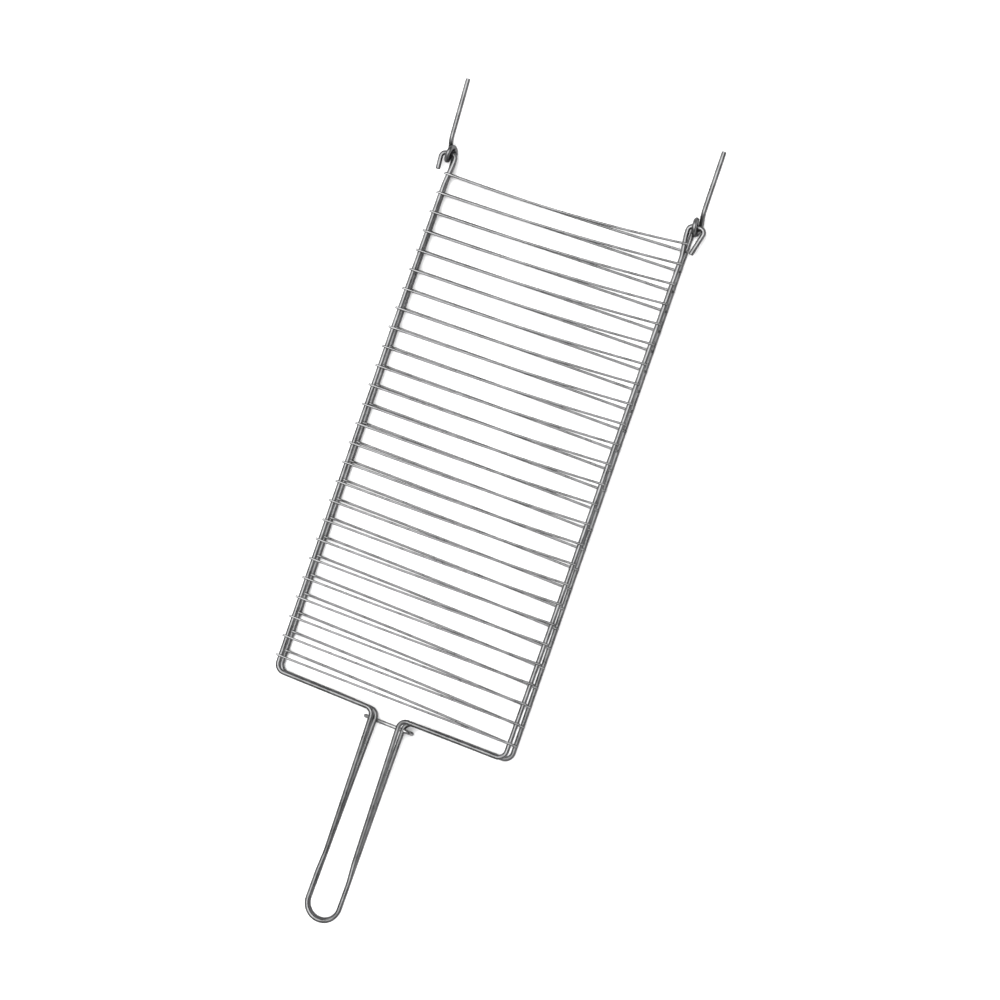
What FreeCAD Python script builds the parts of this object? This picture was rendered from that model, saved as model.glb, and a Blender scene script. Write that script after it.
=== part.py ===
import FreeCAD, Part
import math
import os

# Double-grid grill basket bent from plated steel wire.
# Millimetres. X runs across the basket, Y points from the handle towards the hinge and the
# far support rods, Z is up. The origin is on the surface the basket lies on, at the centre
# of its outline. "back" is a distance from the hinge axis towards the handle.

# Wire gauges
FRAME_WIRE = 4.8
CROSS_WIRE = 2.4
CLIP_WIRE = 4.0
WELD_SINK = 0.5
CONTACT_GAP = 0.1

# Plan of the two frames; where the sides differ slightly, -1 is the left one and 1 the right one
LOWER_HALF_WIDTH = 129.5
LOWER_CORNER_X = {-1: 130.4, 1: 129.5}
UPPER_KNEE_X = {-1: 127.8, 1: 128.9}
UPPER_CORNER_X = {-1: 125.2, 1: 128.5}
LOWER_CORNER_BACK = 553.2
UPPER_CORNER_BACK = 549.6
SHOULDER_SLOPE = 1.2
CORNER_RADIUS = 9.0
NECK_RADIUS = 8.0
HANDLE_BACK = 767.5
LOWER_END_X = {-1: 16.4, 1: 17.8}
UPPER_END_X = {-1: 16.0, 1: 18.8}

# Far support rods: each climbs out of its coil to a knee and runs level beyond it
ROD_LENGTH = 77.0
ROD_KNEE = 14.0
ROD_CLIMB = 40.0
KNEE_RADIUS = 15.0
ROD_SPLAY = {-1: 3.2, 1: -0.3}

# Hinge: a coil of little more than one turn takes the upper frame's bent end as its pin
COIL_RADIUS = 7.1
COIL_SIDES = 14
COIL_BEND_RADIUS = 6.4
COIL_SHIFT = 6.0
HINGE_Z = FRAME_WIRE / 2 + COIL_RADIUS + CONTACT_GAP

# Upper frame
PIN_RAIL_X = 125.6
PIN_BEND_RADIUS = 4.6
TAIL_X = {-1: 141.2, 1: 141.6}
TAIL_LENGTH = {-1: 18.0, 1: 27.0}
TAIL_TOE_IN = {-1: 5.0, 1: 14.0}
SPLAY_START_BACK = 10.0
SPLAY_END_BACK = 30.0
RAIL_KNEE_BACK = 190.0
RAIL_KNEE_Z = 17.0
UPPER_CORNER_Z = 27.8
UPPER_NECK_Z = 25.1
UPPER_NECK_X = {-1: 14.9, 1: 15.5}
LEGS_MEET_BACK = 702.0
LEGS_MEET_X = {-1: 15.0, 1: 17.0}
LEGS_FLARED_BACK = 722.0

# Lower frame
SHOULDER_RISE_X = 60.0
LOWER_NECK_X = {-1: 15.4, 1: 15.9}
LOWER_NECK_Z = 6.2
LEG_RISE = 4.0

# Cross wires
CROSS_WIRES = 26
LOWER_OVERHANG = 3.0
UPPER_OVERHANG = 4.0
LOWER_FIRST_BACK = 21.9
LOWER_PITCH = 20.49
LOWER_SKEW = -1.25
LOWER_SAG = 4.0
LOWER_BOW = -0.3
LOWER_FIRST_BOW = 1.5
UPPER_FIRST_BACK = 19.4
UPPER_PITCH = 20.56
UPPER_SKEW = 0.45
UPPER_SAG = 8.0
UPPER_BOW = 1.8
UPPER_FIRST_BOW = 3.6

# Sliding clip
CLIP_BACK = 564.0
CLIP_END_X = {-1: 17.6, 1: 19.4}
CLIP_LEAN = -6.0

# Gentle bends
SOFT_BEND_RADIUS = 60.0
LONG_BEND_RADIUS = 400.0
MAX_REACH = 0.49

HINGE_Y = (HANDLE_BACK + FRAME_WIRE / 2 - ROD_LENGTH) / 2
STACKED = FRAME_WIRE + CONTACT_GAP
LOWER_NECK_BACK = LOWER_CORNER_BACK + SHOULDER_SLOPE
UPPER_NECK_BACK = UPPER_CORNER_BACK + SHOULDER_SLOPE


def at(x, back, z):
    """Point given by its distance behind the hinge axis."""
    return FreeCAD.Vector(x, HINGE_Y - back, z)


def tan_deg(angle):
    return math.tan(math.radians(angle))


def lower_leg_z(back):
    return LOWER_NECK_Z + (back - LOWER_NECK_BACK) * tan_deg(LEG_RISE)


def upper_rail_z(back):
    if back < RAIL_KNEE_BACK:
        return HINGE_Z + (RAIL_KNEE_Z - HINGE_Z) * back / RAIL_KNEE_BACK
    share = (back - RAIL_KNEE_BACK) / (UPPER_CORNER_BACK - RAIL_KNEE_BACK)
    return RAIL_KNEE_Z + (UPPER_CORNER_Z - RAIL_KNEE_Z) * share


def lower_rail_x(back, side):
    return LOWER_HALF_WIDTH + (LOWER_CORNER_X[side] - LOWER_HALF_WIDTH) * back / LOWER_CORNER_BACK


def upper_rail_x(back, side):
    if back < RAIL_KNEE_BACK:
        share = (back - SPLAY_START_BACK) / (SPLAY_END_BACK - SPLAY_START_BACK)
        return PIN_RAIL_X + (UPPER_KNEE_X[side] - PIN_RAIL_X) * min(max(share, 0.0), 1.0)
    share = (back - RAIL_KNEE_BACK) / (UPPER_CORNER_BACK - RAIL_KNEE_BACK)
    return UPPER_KNEE_X[side] + (UPPER_CORNER_X[side] - UPPER_KNEE_X[side]) * share


def bent_path(corners):
    """Straight runs joined by tangent arcs; a corner is a point and its bend radius."""
    points = [point for point, radius in corners]
    edges = []
    start = points[0]
    for index in range(1, len(corners) - 1):
        corner, radius = corners[index]
        arrive = corner - points[index - 1]
        leave = points[index + 1] - corner
        half_turn = arrive.getAngle(leave) / 2
        reach = radius * math.tan(half_turn)
        reach = min(reach, MAX_REACH * min(arrive.Length, leave.Length))
        bend = reach / math.tan(half_turn)
        arrive.normalize()
        leave.normalize()
        inward = leave - arrive
        inward.normalize()
        arc_start = corner - arrive * reach
        arc_middle = corner + inward * bend * (1 / math.cos(half_turn) - 1)
        arc_end = corner + leave * reach
        edges.append(Part.LineSegment(start, arc_start).toShape())
        edges.append(Part.Arc(arc_start, arc_middle, arc_end).toShape())
        start = arc_end
    edges.append(Part.LineSegment(start, points[-1]).toShape())
    return Part.Wire(edges)


def drawn_wire(path, diameter):
    """Solid round wire along a path."""
    first = path.OrderedEdges[0]
    start = first.valueAt(first.FirstParameter)
    heading = first.tangentAt(first.FirstParameter)
    section = Part.Wire(Part.makeCircle(diameter / 2, start, heading))
    solid = path.makePipeShell([section], True, False)
    wanted = math.pi * diameter ** 2 / 4 * path.Length
    if not solid.isValid() or abs(solid.Volume / wanted - 1) > 0.01:
        raise ValueError("wire did not sweep cleanly")
    return solid


def lower_half(side):
    """Corners of one side of the lower frame, from rod tip to handle end."""
    climb = math.radians(ROD_CLIMB)
    turn = (2 * math.pi + climb) / COIL_SIDES
    vertex_radius = COIL_RADIUS / math.cos(turn / 2)
    rod_x = LOWER_HALF_WIDTH + COIL_SHIFT
    rod_z = HINGE_Z - COIL_RADIUS / math.cos(climb) + ROD_KNEE * math.tan(climb)
    tip_x = rod_x + (ROD_LENGTH - ROD_KNEE) * tan_deg(ROD_SPLAY[side])
    corners = [
        (at(side * tip_x, -ROD_LENGTH, rod_z), 0.0),
        (at(side * rod_x, -ROD_KNEE, rod_z), KNEE_RADIUS),
    ]
    for step in range(COIL_SIDES):
        angle = turn * (step + 0.5) - climb
        x = rod_x - COIL_SHIFT * step / (COIL_SIDES - 1)
        back = vertex_radius * math.sin(angle)
        z = HINGE_Z - vertex_radius * math.cos(angle)
        corners.append((at(side * x, back, z), COIL_BEND_RADIUS))
    corners += [
        (at(side * LOWER_CORNER_X[side], LOWER_CORNER_BACK, FRAME_WIRE / 2), CORNER_RADIUS),
        (at(side * SHOULDER_RISE_X, LOWER_CORNER_BACK + SHOULDER_SLOPE / 2, FRAME_WIRE / 2), SOFT_BEND_RADIUS),
        (at(side * LOWER_NECK_X[side], LOWER_NECK_BACK, LOWER_NECK_Z), NECK_RADIUS),
        (at(side * LOWER_END_X[side], HANDLE_BACK, lower_leg_z(HANDLE_BACK)), sum(LOWER_END_X.values()) / 2),
    ]
    return corners


def upper_half(side):
    """Corners of one side of the upper frame, from the tail outside the coil to handle end."""
    toe_in = TAIL_TOE_IN[side]
    corner_x = TAIL_X[side] + PIN_BEND_RADIUS * (tan_deg((90 + toe_in) / 2) - 1)
    tail = TAIL_LENGTH[side]
    tip_x = corner_x - tail * tan_deg(toe_in)
    knees = [SPLAY_START_BACK, SPLAY_END_BACK, RAIL_KNEE_BACK]
    bends = [SOFT_BEND_RADIUS, SOFT_BEND_RADIUS, LONG_BEND_RADIUS]
    corners = [
        (at(side * tip_x, tail, HINGE_Z), 0.0),
        (at(side * corner_x, 0, HINGE_Z), PIN_BEND_RADIUS),
        (at(side * PIN_RAIL_X, 0, HINGE_Z), PIN_BEND_RADIUS),
    ]
    for back, bend in zip(knees, bends):
        corners.append((at(side * upper_rail_x(back, side), back, upper_rail_z(back)), bend))
    corners += [
        (at(side * UPPER_CORNER_X[side], UPPER_CORNER_BACK, UPPER_CORNER_Z), CORNER_RADIUS),
        (at(side * UPPER_NECK_X[side], UPPER_NECK_BACK, UPPER_NECK_Z), NECK_RADIUS),
        (at(side * LEGS_MEET_X[side], LEGS_MEET_BACK, lower_leg_z(LEGS_MEET_BACK) + STACKED), SOFT_BEND_RADIUS),
        (at(side * UPPER_END_X[side], LEGS_FLARED_BACK, lower_leg_z(LEGS_FLARED_BACK) + STACKED), SOFT_BEND_RADIUS),
        (at(side * UPPER_END_X[side], HANDLE_BACK, lower_leg_z(HANDLE_BACK) + STACKED), sum(UPPER_END_X.values()) / 2),
    ]
    return corners


def frame_wire(half):
    """One continuous wire: down one side, round the handle end and back up the other."""
    return drawn_wire(bent_path(half(1) + half(-1)[::-1]), FRAME_WIRE)


def cross_wire(back, ends, end_z, skew, sag, bow):
    """Thin wire across a frame, bowed in one circular arc; ends are its reaches left and right."""
    left = at(-ends[0], back + ends[0] * tan_deg(skew), end_z)
    middle = at((ends[1] - ends[0]) / 2, back + bow, end_z - sag)
    right = at(ends[1], back - ends[1] * tan_deg(skew), end_z)
    return drawn_wire(Part.Wire(Part.Arc(left, middle, right).toShape()), CROSS_WIRE)


def lower_cross_wire(number):
    back = LOWER_FIRST_BACK + number * LOWER_PITCH
    ends = [lower_rail_x(back, side) + LOWER_OVERHANG for side in (-1, 1)]
    seat = FRAME_WIRE + CROSS_WIRE / 2 - WELD_SINK
    bow = LOWER_BOW if number else LOWER_FIRST_BOW
    return cross_wire(back, ends, seat, LOWER_SKEW, LOWER_SAG, bow)


def upper_cross_wire(number):
    back = UPPER_FIRST_BACK + number * UPPER_PITCH
    ends = [upper_rail_x(back, side) + UPPER_OVERHANG for side in (-1, 1)]
    seat = upper_rail_z(back) + (FRAME_WIRE + CROSS_WIRE) / 2 - WELD_SINK
    bow = UPPER_BOW if number else UPPER_FIRST_BOW
    return cross_wire(back, ends, seat, UPPER_SKEW, UPPER_SAG, bow)


def handle_clip():
    """Bar under the lower legs with both ends curled up and over them."""
    lean = math.radians(CLIP_LEAN)
    inside = 2 * FRAME_WIRE + 4 * CONTACT_GAP
    curl = (inside + CLIP_WIRE) / math.cos(lean) / 2
    left, right = -CLIP_END_X[-1], CLIP_END_X[1]
    point = FreeCAD.Vector
    edges = [
        Part.Arc(point(left, 0, 2 * curl), point(left - curl, 0, curl), point(left, 0, 0)).toShape(),
        Part.LineSegment(point(left, 0, 0), point(right, 0, 0)).toShape(),
        Part.Arc(point(right, 0, 0), point(right + curl, 0, curl), point(right, 0, 2 * curl)).toShape(),
    ]
    clip = drawn_wire(Part.Wire(edges), CLIP_WIRE)
    clip.rotate(point(0, 0, 0), point(1, 0, 0), CLIP_LEAN - LEG_RISE)
    below_leg = (FRAME_WIRE + CLIP_WIRE) / 2 + CONTACT_GAP
    clip.translate(at(0, CLIP_BACK, lower_leg_z(CLIP_BACK) - below_leg))
    return clip


def main():
    os.makedirs("parts", exist_ok=True)
    nodes = {
        "lower_frame_wire": frame_wire(lower_half),
        "upper_frame_wire": frame_wire(upper_half),
        "handle_clip": handle_clip(),
    }
    for number in range(CROSS_WIRES):
        nodes[f"lower_cross_wire_{number + 1:02d}"] = lower_cross_wire(number)
        nodes[f"upper_cross_wire_{number + 1:02d}"] = upper_cross_wire(number)
    for name, shape in nodes.items():
        shape.exportStep(f"parts/{name}.step")
    box = Part.makeCompound(list(nodes.values())).BoundBox
    print("box", [round(value, 2) for value in (box.XMin, box.XMax, box.YMin, box.YMax, box.ZMin, box.ZMax)])
    print("hinge y", HINGE_Y, "hinge z", HINGE_Z)


main()
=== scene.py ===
import bpy
import math
import random
from mathutils import Euler, Matrix, Vector, noise


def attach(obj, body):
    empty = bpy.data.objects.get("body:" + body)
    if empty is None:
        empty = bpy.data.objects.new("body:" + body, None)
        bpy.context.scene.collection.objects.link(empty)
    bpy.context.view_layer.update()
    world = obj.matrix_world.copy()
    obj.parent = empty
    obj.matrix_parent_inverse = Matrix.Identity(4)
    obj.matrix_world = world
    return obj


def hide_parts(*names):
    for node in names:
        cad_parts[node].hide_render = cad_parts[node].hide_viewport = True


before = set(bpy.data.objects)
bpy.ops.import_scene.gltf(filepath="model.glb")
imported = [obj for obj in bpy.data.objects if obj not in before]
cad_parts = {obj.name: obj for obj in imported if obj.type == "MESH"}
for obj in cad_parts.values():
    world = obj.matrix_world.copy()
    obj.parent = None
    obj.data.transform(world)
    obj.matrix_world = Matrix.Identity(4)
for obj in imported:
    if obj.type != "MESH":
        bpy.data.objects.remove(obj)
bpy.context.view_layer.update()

# The wires follow the same corners and bend radii as the CAD. Lengths are in millimetres up to
# the floor, which is in metres like all that comes after it. X runs across the basket, Y points
# from the handle towards the hinge, and "back" is a distance from the hinge axis towards the
# handle. Where the two sides differ slightly, -1 is the left one and 1 the right one.
MM = 0.001

# Wire gauges
FRAME_WIRE = 4.8
CROSS_WIRE = 2.4
CLIP_WIRE = 4.0
WELD_SINK = 0.5
CONTACT_GAP = 0.1

# Plan of the two frames
LOWER_HALF_WIDTH = 129.5
LOWER_CORNER_X = {-1: 130.4, 1: 129.5}
UPPER_KNEE_X = {-1: 127.8, 1: 128.9}
UPPER_CORNER_X = {-1: 125.2, 1: 128.5}
LOWER_CORNER_BACK = 553.2
UPPER_CORNER_BACK = 549.6
SHOULDER_SLOPE = 1.2
CORNER_RADIUS = 9.0
NECK_RADIUS = 8.0
HANDLE_BACK = 767.5
LOWER_END_X = {-1: 16.4, 1: 17.8}
UPPER_END_X = {-1: 16.0, 1: 18.8}

# Far support rods
ROD_LENGTH = 77.0
ROD_KNEE = 14.0
ROD_CLIMB = 40.0
KNEE_RADIUS = 15.0
ROD_SPLAY = {-1: 3.2, 1: -0.3}

# Hinge eyes
COIL_RADIUS = 7.1
COIL_SIDES = 14
COIL_BEND_RADIUS = 6.4
COIL_SHIFT = 6.0
HINGE_Z = FRAME_WIRE / 2 + COIL_RADIUS + CONTACT_GAP

# Upper frame: hinge pins, tails, rails and legs
PIN_RAIL_X = 125.6
PIN_BEND_RADIUS = 4.6
TAIL_X = {-1: 141.2, 1: 141.6}
TAIL_LENGTH = {-1: 18.0, 1: 27.0}
TAIL_TOE_IN = {-1: 5.0, 1: 14.0}
SPLAY_START_BACK = 10.0
SPLAY_END_BACK = 30.0
RAIL_KNEE_BACK = 190.0
RAIL_KNEE_Z = 17.0
UPPER_CORNER_Z = 27.8
UPPER_NECK_Z = 25.1
UPPER_NECK_X = {-1: 14.9, 1: 15.5}
LEGS_MEET_BACK = 702.0
LEGS_MEET_X = {-1: 15.0, 1: 17.0}
LEGS_FLARED_BACK = 722.0

# Lower frame
SHOULDER_RISE_X = 60.0
LOWER_NECK_X = {-1: 15.4, 1: 15.9}
LOWER_NECK_Z = 6.2
LEG_RISE = 4.0

# Cross wires
CROSS_WIRES = 26
LOWER_OVERHANG = 3.0
UPPER_OVERHANG = 4.0
LOWER_FIRST_BACK = 21.9
LOWER_PITCH = 20.49
LOWER_SKEW = -1.25
LOWER_SAG = 4.0
LOWER_BOW = -0.3
LOWER_FIRST_BOW = 1.5
UPPER_FIRST_BACK = 19.4
UPPER_PITCH = 20.56
UPPER_SKEW = 0.45
UPPER_SAG = 8.0
UPPER_BOW = 1.8
UPPER_FIRST_BOW = 3.6

# Sliding clip
CLIP_BACK = 564.0
CLIP_END_X = {-1: 17.6, 1: 19.4}
CLIP_LEAN = -6.0

# Gentle bends; an arc takes at most this share of the run beside it
SOFT_BEND_RADIUS = 60.0
LONG_BEND_RADIUS = 400.0
MAX_REACH = 0.49

HINGE_Y = (HANDLE_BACK + FRAME_WIRE / 2 - ROD_LENGTH) / 2
STACKED = FRAME_WIRE + CONTACT_GAP
LOWER_NECK_BACK = LOWER_CORNER_BACK + SHOULDER_SLOPE
UPPER_NECK_BACK = UPPER_CORNER_BACK + SHOULDER_SLOPE

# Mesh: facets round a wire, degrees and steps along a curve, and the bevels of the cut ends
FRAME_SIDES = 28
CROSS_SIDES = 18
ARC_STEP = 5.0
BOW_STEPS = 64
LONGEST_STEP = 4.0
CROPPED_EDGE = 0.45
SHEARED_EDGE = 0.25
SHARP_ANGLE = 32

# Spot welds: pressed flats on the thin wires, heat marks, and beads of squeezed-out metal
WELD_REACH = 2.6
HEAT_REACH = 2.2 * WELD_REACH
PRESSED_FLAT = 0.22
BEAD_SIZE = (1.55, 1.75, 0.85)
BEAD_ROWS = 9
BEAD_COLUMNS = 20
BEAD_LIFT = 0.25

# Plating: roughness range, reflection at grazing angles, height of the grain in metres
SMOOTH, ROUGH = 0.24, 0.36
EDGE_TINT = (0.30, 0.30, 0.31, 1.0)
GRAIN_HEIGHT = 0.00005
HEAT_COLOUR = (0.055, 0.052, 0.050, 1.0)

# Stage, in metres
FLOOR_REACH = 9
FLOOR_Z = -0.0004
FLOOR_COLOUR = (0.93, 0.93, 0.93, 1.0)
SKY = ((0.0, 0.62), (0.13, 0.62), (0.21, 0.12), (0.40, 0.14), (0.80, 0.60), (1.0, 0.9))
SKY_STRENGTH = 1.5
CAMERA_PLACE = (0.5138, 0.0968, 1.7201)
CAMERA_TILT = (3.265, 15.444, 19.640)
CAMERA_LENS = 64.55

random.seed(11)


def at(x, back, z):
    return Vector((x, HINGE_Y - back, z))


def tan_deg(angle):
    return math.tan(math.radians(angle))


def lower_leg_z(back):
    return LOWER_NECK_Z + (back - LOWER_NECK_BACK) * tan_deg(LEG_RISE)


def stacked_leg(x, back):
    """Point of an upper leg that lies on the lower one."""
    return at(x, back, lower_leg_z(back) + STACKED)


def upper_rail_z(back):
    if back < RAIL_KNEE_BACK:
        return HINGE_Z + (RAIL_KNEE_Z - HINGE_Z) * back / RAIL_KNEE_BACK
    share = (back - RAIL_KNEE_BACK) / (UPPER_CORNER_BACK - RAIL_KNEE_BACK)
    return RAIL_KNEE_Z + (UPPER_CORNER_Z - RAIL_KNEE_Z) * share


def lower_rail_x(back, side):
    return LOWER_HALF_WIDTH + (LOWER_CORNER_X[side] - LOWER_HALF_WIDTH) * back / LOWER_CORNER_BACK


def upper_rail_x(back, side):
    if back < RAIL_KNEE_BACK:
        share = (back - SPLAY_START_BACK) / (SPLAY_END_BACK - SPLAY_START_BACK)
        return PIN_RAIL_X + (UPPER_KNEE_X[side] - PIN_RAIL_X) * min(max(share, 0.0), 1.0)
    share = (back - RAIL_KNEE_BACK) / (UPPER_CORNER_BACK - RAIL_KNEE_BACK)
    return UPPER_KNEE_X[side] + (UPPER_CORNER_X[side] - UPPER_KNEE_X[side]) * share


def lower_half(side):
    climb = math.radians(ROD_CLIMB)
    turn = (2 * math.pi + climb) / COIL_SIDES
    vertex_radius = COIL_RADIUS / math.cos(turn / 2)
    rod_x = LOWER_HALF_WIDTH + COIL_SHIFT
    rod_z = HINGE_Z - COIL_RADIUS / math.cos(climb) + ROD_KNEE * math.tan(climb)
    tip_x = rod_x + (ROD_LENGTH - ROD_KNEE) * tan_deg(ROD_SPLAY[side])
    corners = [
        (at(side * tip_x, -ROD_LENGTH, rod_z), 0.0),
        (at(side * rod_x, -ROD_KNEE, rod_z), KNEE_RADIUS),
    ]
    for step in range(COIL_SIDES):
        angle = turn * (step + 0.5) - climb
        x = rod_x - COIL_SHIFT * step / (COIL_SIDES - 1)
        back = vertex_radius * math.sin(angle)
        z = HINGE_Z - vertex_radius * math.cos(angle)
        corners.append((at(side * x, back, z), COIL_BEND_RADIUS))
    shoulder_back = LOWER_CORNER_BACK + SHOULDER_SLOPE / 2
    corners += [
        (at(side * LOWER_CORNER_X[side], LOWER_CORNER_BACK, FRAME_WIRE / 2), CORNER_RADIUS),
        (at(side * SHOULDER_RISE_X, shoulder_back, FRAME_WIRE / 2), SOFT_BEND_RADIUS),
        (at(side * LOWER_NECK_X[side], LOWER_NECK_BACK, LOWER_NECK_Z), NECK_RADIUS),
        (at(side * LOWER_END_X[side], HANDLE_BACK, lower_leg_z(HANDLE_BACK)), sum(LOWER_END_X.values()) / 2),
    ]
    return corners


def upper_half(side):
    toe_in = TAIL_TOE_IN[side]
    corner_x = TAIL_X[side] + PIN_BEND_RADIUS * (tan_deg((90 + toe_in) / 2) - 1)
    tail = TAIL_LENGTH[side]
    tip_x = corner_x - tail * tan_deg(toe_in)
    knees = [SPLAY_START_BACK, SPLAY_END_BACK, RAIL_KNEE_BACK]
    bends = [SOFT_BEND_RADIUS, SOFT_BEND_RADIUS, LONG_BEND_RADIUS]
    corners = [
        (at(side * tip_x, tail, HINGE_Z), 0.0),
        (at(side * corner_x, 0, HINGE_Z), PIN_BEND_RADIUS),
        (at(side * PIN_RAIL_X, 0, HINGE_Z), PIN_BEND_RADIUS),
    ]
    for back, bend in zip(knees, bends):
        corners.append((at(side * upper_rail_x(back, side), back, upper_rail_z(back)), bend))
    corners += [
        (at(side * UPPER_CORNER_X[side], UPPER_CORNER_BACK, UPPER_CORNER_Z), CORNER_RADIUS),
        (at(side * UPPER_NECK_X[side], UPPER_NECK_BACK, UPPER_NECK_Z), NECK_RADIUS),
        (stacked_leg(side * LEGS_MEET_X[side], LEGS_MEET_BACK), SOFT_BEND_RADIUS),
        (stacked_leg(side * UPPER_END_X[side], LEGS_FLARED_BACK), SOFT_BEND_RADIUS),
        (stacked_leg(side * UPPER_END_X[side], HANDLE_BACK), sum(UPPER_END_X.values()) / 2),
    ]
    return corners


def arc_points(centre, start, end):
    """Points of the shorter arc after its start, up to its end."""
    first, last = start - centre, end - centre
    axis = first.cross(last)
    angle = first.angle(last)
    steps = max(2, math.ceil(math.degrees(angle) / ARC_STEP))
    return [centre + Matrix.Rotation(angle * n / steps, 3, axis) @ first for n in range(1, steps + 1)]


def bent_points(corners):
    points = [corners[0][0]]
    for before, (corner, radius), after in zip(corners, corners[1:], corners[2:]):
        arrive, leave = corner - before[0], after[0] - corner
        half_turn = arrive.angle(leave) / 2
        reach = min(radius * math.tan(half_turn), MAX_REACH * min(arrive.length, leave.length))
        bend = reach / math.tan(half_turn)
        arrive.normalize()
        leave.normalize()
        inward = (leave - arrive).normalized()
        start = corner - arrive * reach
        points.append(start)
        points += arc_points(corner + inward * bend / math.cos(half_turn), start, corner + leave * reach)
    points.append(corners[-1][0])
    return points


def bowed_points(left, middle, right):
    """Even points of the circular arc through three points."""
    a, b = middle - left, right - left
    normal = a.cross(b)
    offset = normal.cross(a) * b.length_squared + b.cross(normal) * a.length_squared
    centre = left + offset / (2 * normal.length_squared)
    first = left - centre
    angle = first.angle(right - centre)
    axis = first.cross(right - centre)
    return [centre + Matrix.Rotation(angle * n / BOW_STEPS, 3, axis) @ first for n in range(BOW_STEPS + 1)]


def denser(points, longest):
    """Splits long straight runs, so that weld marks have somewhere to sit."""
    out = [points[0]]
    for a, b in zip(points, points[1:]):
        pieces = max(1, math.ceil((b - a).length / longest))
        out += [a.lerp(b, n / pieces) for n in range(1, pieces + 1)]
    return out


def wire(name, points, diameter, sides, material, body, nodes, edge, welds=(), flatten=0.0):
    """A round wire with cropped ends. Welds get a heat mark and, on thin wire, a pressed flat."""
    radius = diameter / 2
    tangents = []
    for n in range(len(points)):
        a = points[max(n - 1, 0)]
        b = points[min(n + 1, len(points) - 1)]
        into = (points[n] - a).normalized() if n else Vector()
        out = (b - points[n]).normalized() if n < len(points) - 1 else Vector()
        tangents.append((into + out).normalized())
    rings = [(points[0], tangents[0], radius - edge, 0.0)]
    rings.append((points[0] + tangents[0] * edge, tangents[0], radius, edge))
    run = 0.0
    for n in range(1, len(points) - 1):
        run += (points[n] - points[n - 1]).length
        rings.append((points[n], tangents[n], radius, run))
    run += (points[-1] - points[-2]).length
    rings.append((points[-1] - tangents[-1] * edge, tangents[-1], radius, run - edge))
    rings.append((points[-1], tangents[-1], radius - edge, run))
    up = Vector((0, 0, 1))
    across = tangents[0].cross(up).normalized()
    across = across if across.length > 0.5 else Vector((1, 0, 0))
    verts, heat, ring_runs = [], [], []
    for centre, tangent, ring_radius, along in rings:
        across = (across - tangent * across.dot(tangent)).normalized()
        over = across.cross(tangent)
        near = min(((centre - w).length for w in welds), default=99.0)
        press = flatten * max(0.0, 1.0 - (near / WELD_REACH) ** 2)
        for k in range(sides):
            turn = 2 * math.pi * k / sides
            offset = (across * math.cos(turn) + over * math.sin(turn)) * ring_radius
            if press and offset.z > ring_radius - press:
                offset.z = ring_radius - press
            verts.append((centre + offset) * MM)
            heat.append(max(0.0, 1.0 - (near / HEAT_REACH) ** 2))
        ring_runs.append(along)
    faces = []
    for n in range(len(rings) - 1):
        for k in range(sides):
            j = (k + 1) % sides
            faces.append((n * sides + k, n * sides + j, (n + 1) * sides + j, (n + 1) * sides + k))
    faces.append(tuple(range(sides))[::-1])
    faces.append(tuple((len(rings) - 1) * sides + k for k in range(sides)))
    mesh = bpy.data.meshes.new(name)
    mesh.from_pydata(verts, [], faces)
    layer = mesh.uv_layers.new(name="along")
    for polygon in mesh.polygons:
        closes_round = len(polygon.vertices) == 4 and max(v % sides for v in polygon.vertices) == sides - 1
        for corner in polygon.loop_indices:
            vertex = mesh.loops[corner].vertex_index
            ring, k = divmod(vertex, sides)
            if k == 0 and closes_round:
                k = sides
            layer.data[corner].uv = (ring_runs[ring] * 0.01, k / sides)
    marks = mesh.attributes.new("heat", "FLOAT", "POINT")
    marks.data.foreach_set("value", heat)
    mesh.shade_smooth()
    mesh.set_sharp_from_angle(angle=math.radians(SHARP_ANGLE))
    mesh.materials.append(material)
    made = bpy.data.objects.new(name, mesh)
    bpy.context.collection.objects.link(made)
    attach(made, body)
    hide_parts(*nodes)
    return made


def nuggets(name, spots, material, body):
    """Squeezed-out metal of the spot welds: one low, uneven bead round each crossing."""
    verts, faces = [], []
    rows, columns = BEAD_ROWS, BEAD_COLUMNS
    for spot in spots:
        base = len(verts)
        shape = [random.uniform(0.92, 1.12) for _ in range(3)]
        for r in range(rows):
            lift = -math.pi / 2 + math.pi * (r + 0.5) / rows
            for c in range(columns):
                turn = 2 * math.pi * c / columns
                point = Vector((
                    BEAD_SIZE[0] * shape[0] * math.cos(lift) * math.cos(turn),
                    BEAD_SIZE[1] * shape[1] * math.cos(lift) * math.sin(turn),
                    BEAD_SIZE[2] * shape[2] * math.sin(lift),
                ))
                point *= 1 + 0.10 * noise.noise(point * 1.1 + spot)
                verts.append((spot + point) * MM)
        for r in range(rows - 1):
            row, above = base + r * columns, base + (r + 1) * columns
            for c in range(columns):
                d = (c + 1) % columns
                faces.append((row + c, row + d, above + d, above + c))
        faces.append(tuple(base + c for c in range(columns))[::-1])
        faces.append(tuple(base + (rows - 1) * columns + c for c in range(columns)))
    mesh = bpy.data.meshes.new(name)
    mesh.from_pydata(verts, [], faces)
    marks = mesh.attributes.new("heat", "FLOAT", "POINT")
    marks.data.foreach_set("value", [1.0] * len(verts))
    mesh.shade_smooth()
    mesh.materials.append(material)
    made = bpy.data.objects.new(name, mesh)
    bpy.context.collection.objects.link(made)
    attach(made, body)
    return made


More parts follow.
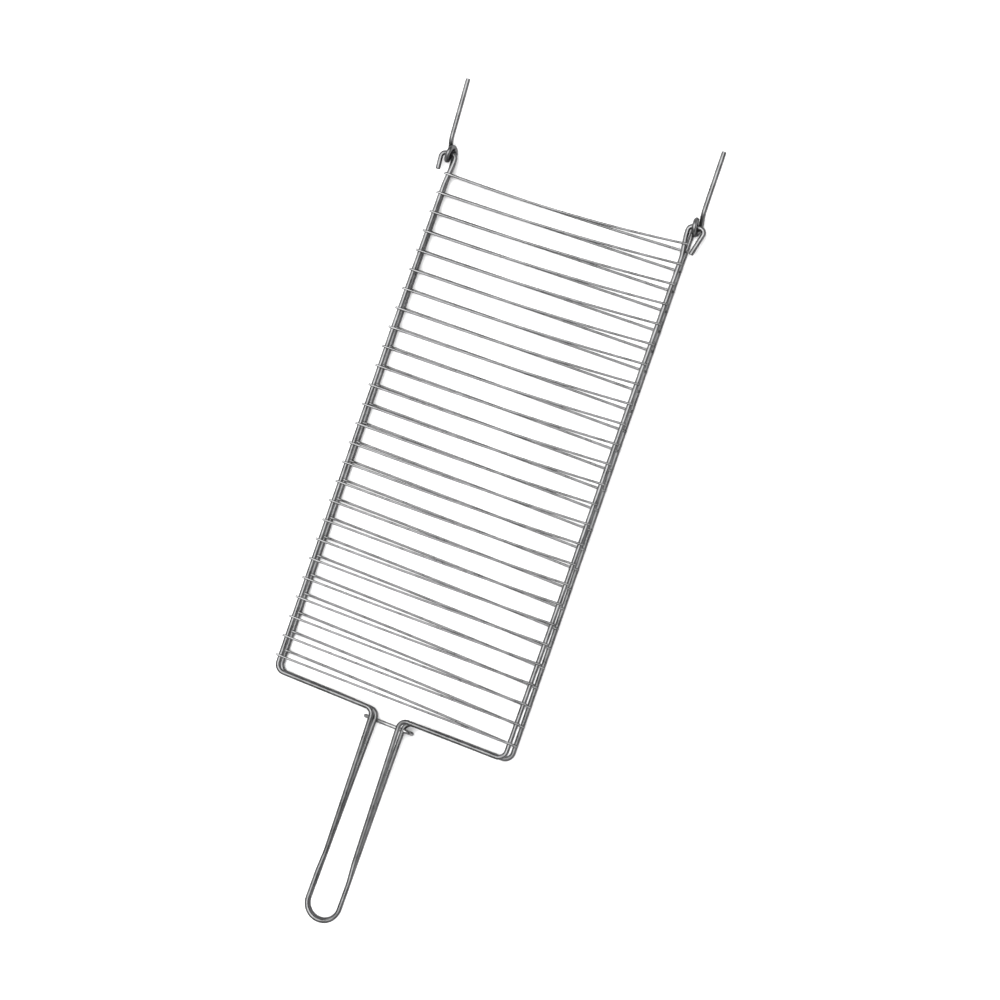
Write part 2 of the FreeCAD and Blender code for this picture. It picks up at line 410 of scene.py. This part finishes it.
def plated_steel(name, light, dark, grain):
    """Zinc on drawn wire: cloudy plating, faint lines along the wire, darker and duller at each weld."""
    material = bpy.data.materials.new(name)
    material.use_nodes = True
    nodes, links = material.node_tree.nodes, material.node_tree.links
    shader = nodes["Principled BSDF"]
    place = nodes.new("ShaderNodeTexCoord")

    def speckle(scale, detail, source, stretch=(1, 1, 1)):
        fit = nodes.new("ShaderNodeMapping")
        fit.inputs["Scale"].default_value = stretch
        links.new(source, fit.inputs["Vector"])
        texture = nodes.new("ShaderNodeTexNoise")
        texture.inputs["Scale"].default_value = scale
        texture.inputs["Detail"].default_value = detail
        links.new(fit.outputs["Vector"], texture.inputs["Vector"])
        return texture.outputs["Fac"]

    def ramp(source, low, high, a, b):
        fit = nodes.new("ShaderNodeMapRange")
        fit.inputs["From Min"].default_value = low
        fit.inputs["From Max"].default_value = high
        fit.inputs["To Min"].default_value = a
        fit.inputs["To Max"].default_value = b
        links.new(source, fit.inputs["Value"])
        return fit.outputs["Result"]

    def mix(factor, a, b, kind="MIX"):
        blend = nodes.new("ShaderNodeMix")
        blend.data_type = "RGBA"
        blend.blend_type = kind
        for socket, value in ((blend.inputs[0], factor), (blend.inputs[6], a), (blend.inputs[7], b)):
            if isinstance(value, (float, tuple)):
                socket.default_value = value
            else:
                links.new(value, socket)
        return blend.outputs[2]

    cloud = speckle(90.0, 3.0, place.outputs["Object"])
    fleck = speckle(900.0, 2.0, place.outputs["Object"])
    lines = speckle(14.0, 3.0, place.outputs["UV"], (0.35, 4.0, 1.0))
    heat = nodes.new("ShaderNodeAttribute")
    heat.attribute_name = "heat"
    colour = mix(ramp(cloud, 0.35, 0.65, 0.0, 1.0), dark, light)
    colour = mix(ramp(fleck, 0.55, 0.75, 0.0, 0.35), colour, tuple(0.6 * c for c in dark[:3]) + (1.0,))
    colour = mix(ramp(heat.outputs["Fac"], 0.0, 1.0, 0.0, 0.75), colour, HEAT_COLOUR)
    links.new(colour, shader.inputs["Base Color"])
    shader.inputs["Metallic"].default_value = 1.0
    shader.inputs["Specular Tint"].default_value = EDGE_TINT
    dull = nodes.new("ShaderNodeMath")
    dull.operation = "ADD"
    dull.use_clamp = True
    links.new(ramp(cloud, 0.3, 0.7, SMOOTH, ROUGH), dull.inputs[0])
    links.new(ramp(heat.outputs["Fac"], 0.0, 1.0, 0.0, 0.12), dull.inputs[1])
    links.new(dull.outputs["Value"], shader.inputs["Roughness"])
    relief = nodes.new("ShaderNodeMath")
    relief.operation = "ADD"
    links.new(ramp(lines, 0.3, 0.7, 0.0, 0.7), relief.inputs[0])
    links.new(ramp(fleck, 0.3, 0.7, 0.0, 0.6), relief.inputs[1])
    bump = nodes.new("ShaderNodeBump")
    bump.inputs["Strength"].default_value = grain
    bump.inputs["Distance"].default_value = GRAIN_HEIGHT
    links.new(relief.outputs["Value"], bump.inputs["Height"])
    links.new(bump.outputs["Normal"], shader.inputs["Normal"])
    return material


def cross_run(ends, back, end_z, skew, sag, bow):
    return bowed_points(
        at(-ends[0], back + ends[0] * tan_deg(skew), end_z),
        at((ends[1] - ends[0]) / 2, back + bow, end_z - sag),
        at(ends[1], back - ends[1] * tan_deg(skew), end_z),
    )


def crossing(points, x):
    """Where a cross wire passes over a rail."""
    for a, b in zip(points, points[1:]):
        if (a.x - x) * (b.x - x) <= 0:
            return a.lerp(b, (x - a.x) / (b.x - a.x))
    raise ValueError("the wire doesn't reach the rail")


frame_steel = plated_steel("frame_wire_zinc", (0.165, 0.165, 0.167, 1.0), (0.100, 0.100, 0.101, 1.0), 0.35)
cross_steel = plated_steel("cross_wire_zinc", (0.225, 0.225, 0.227, 1.0), (0.145, 0.145, 0.146, 1.0), 0.30)
clip_steel = plated_steel("clip_wire_zinc", (0.28, 0.28, 0.282, 1.0), (0.18, 0.18, 0.182, 1.0), 0.40)

weld_spots = {"lower": [], "upper": []}
for number in range(CROSS_WIRES):
    tag = f"{number + 1:02d}"
    lower_back = LOWER_FIRST_BACK + number * LOWER_PITCH
    seat = FRAME_WIRE + CROSS_WIRE / 2 - WELD_SINK
    rails = [lower_rail_x(lower_back, side) for side in (-1, 1)]
    bow = LOWER_BOW if number else LOWER_FIRST_BOW
    run = cross_run([x + LOWER_OVERHANG for x in rails], lower_back, seat, LOWER_SKEW, LOWER_SAG, bow)
    spots = [crossing(run, -rails[0]), crossing(run, rails[1])]
    weld_spots["lower"] += spots
    wire(f"lower_wire_{tag}", run, CROSS_WIRE, CROSS_SIDES, cross_steel, "lower_frame",
         [f"lower_cross_wire_{tag}"], SHEARED_EDGE, spots, PRESSED_FLAT)
    upper_back = UPPER_FIRST_BACK + number * UPPER_PITCH
    rails = [upper_rail_x(upper_back, side) for side in (-1, 1)]
    seat = upper_rail_z(upper_back) + (FRAME_WIRE + CROSS_WIRE) / 2 - WELD_SINK
    bow = UPPER_BOW if number else UPPER_FIRST_BOW
    run = cross_run([x + UPPER_OVERHANG for x in rails], upper_back, seat, UPPER_SKEW, UPPER_SAG, bow)
    spots = [crossing(run, -rails[0]), crossing(run, rails[1])]
    weld_spots["upper"] += spots
    wire(f"upper_wire_{tag}", run, CROSS_WIRE, CROSS_SIDES, cross_steel, "upper_frame",
         [f"upper_cross_wire_{tag}"], SHEARED_EDGE, spots, PRESSED_FLAT)

for half, which in ((lower_half, "lower"), (upper_half, "upper")):
    run = denser(bent_points(half(1) + half(-1)[::-1]), LONGEST_STEP)
    below = [spot - Vector((0, 0, (FRAME_WIRE + CROSS_WIRE) / 2 - WELD_SINK)) for spot in weld_spots[which]]
    wire(f"{which}_frame", run, FRAME_WIRE, FRAME_SIDES, frame_steel, f"{which}_frame",
         [f"{which}_frame_wire"], CROPPED_EDGE, below)
    beads = [spot - Vector((0, 0, CROSS_WIRE / 2 - BEAD_LIFT)) for spot in weld_spots[which]]
    nuggets(f"{which}_welds", beads, cross_steel, f"{which}_frame")

lean = math.radians(CLIP_LEAN)
curl = (2 * FRAME_WIRE + 4 * CONTACT_GAP + CLIP_WIRE) / math.cos(lean) / 2
halves = {}
for side in (-1, 1):
    end_x = side * CLIP_END_X[side]
    halves[side] = [Vector((end_x, 0, 0))]
    for stop in (Vector((end_x + side * curl, 0, curl)), Vector((end_x, 0, 2 * curl))):
        halves[side] += arc_points(Vector((end_x, 0, curl)), halves[side][-1], stop)
run = halves[-1][::-1] + halves[1]
tip = Matrix.Rotation(math.radians(CLIP_LEAN - LEG_RISE), 3, "X")
seat = at(0, CLIP_BACK, lower_leg_z(CLIP_BACK) - (FRAME_WIRE + CLIP_WIRE) / 2 - CONTACT_GAP)
wire("sliding_clip", denser([tip @ p + seat for p in run], LONGEST_STEP), CLIP_WIRE, FRAME_SIDES, clip_steel,
     "handle_clip", ["handle_clip"], CROPPED_EDGE)

# Floor, light and camera
floor_mesh = bpy.data.meshes.new("floor")
signs = ((-1, -1), (1, -1), (1, 1), (-1, 1))
floor_mesh.from_pydata([(x * FLOOR_REACH, y * FLOOR_REACH, FLOOR_Z) for x, y in signs], [], [(0, 1, 2, 3)])
paper = bpy.data.materials.new("floor_paper")
paper.use_nodes = True
matte = paper.node_tree.nodes["Principled BSDF"]
matte.inputs["Base Color"].default_value = FLOOR_COLOUR
matte.inputs["Roughness"].default_value = 0.9
matte.inputs["Specular IOR Level"].default_value = 0.0
floor_mesh.materials.append(paper)
floor = bpy.data.objects.new("floor", floor_mesh)
bpy.context.collection.objects.link(floor)

scene = bpy.context.scene
world = bpy.data.worlds.new("studio")
scene.world = world
world.use_nodes = True
tree = world.node_tree
look = tree.nodes.new("ShaderNodeTexCoord")
height = tree.nodes.new("ShaderNodeSeparateXYZ")
tree.links.new(look.outputs["Generated"], height.inputs["Vector"])
shade = tree.nodes.new("ShaderNodeValToRGB")
stops = shade.color_ramp.elements
for position, value in SKY:
    ends = {0.0: stops[0], 1.0: stops[len(stops) - 1]}
    stop = ends.get(position) or stops.new(position)
    stop.color = (value, value, value, 1.0)
tree.links.new(height.outputs["Z"], shade.inputs["Fac"])
tree.links.new(shade.outputs["Color"], tree.nodes["Background"].inputs["Color"])
tree.nodes["Background"].inputs["Strength"].default_value = SKY_STRENGTH


def softbox(name, place, target, width, depth, power):
    light = bpy.data.lights.new(name, "AREA")
    light.shape = "RECTANGLE"
    light.size, light.size_y, light.energy = width, depth, power
    lamp = bpy.data.objects.new(name, light)
    lamp.location = place
    lamp.rotation_euler = (Vector(target) - Vector(place)).to_track_quat("-Z", "Y").to_euler()
    bpy.context.collection.objects.link(lamp)


softbox("overhead_softbox", (0.1, 0.3, 2.6), (0, 0, 0), 2.4, 2.4, 95.0)
softbox("side_softbox", (-2.2, 0.8, 1.5), (0, 0, 0), 1.2, 1.6, 12.0)

eye = bpy.data.cameras.new("camera")
eye.lens = CAMERA_LENS
eye.sensor_width = 36.0
eye.clip_end = 50.0
camera = bpy.data.objects.new("camera", eye)
camera.location = CAMERA_PLACE
camera.rotation_euler = Euler([math.radians(angle) for angle in CAMERA_TILT])
bpy.context.collection.objects.link(camera)
scene.camera = camera
scene.view_settings.view_transform = "Standard"
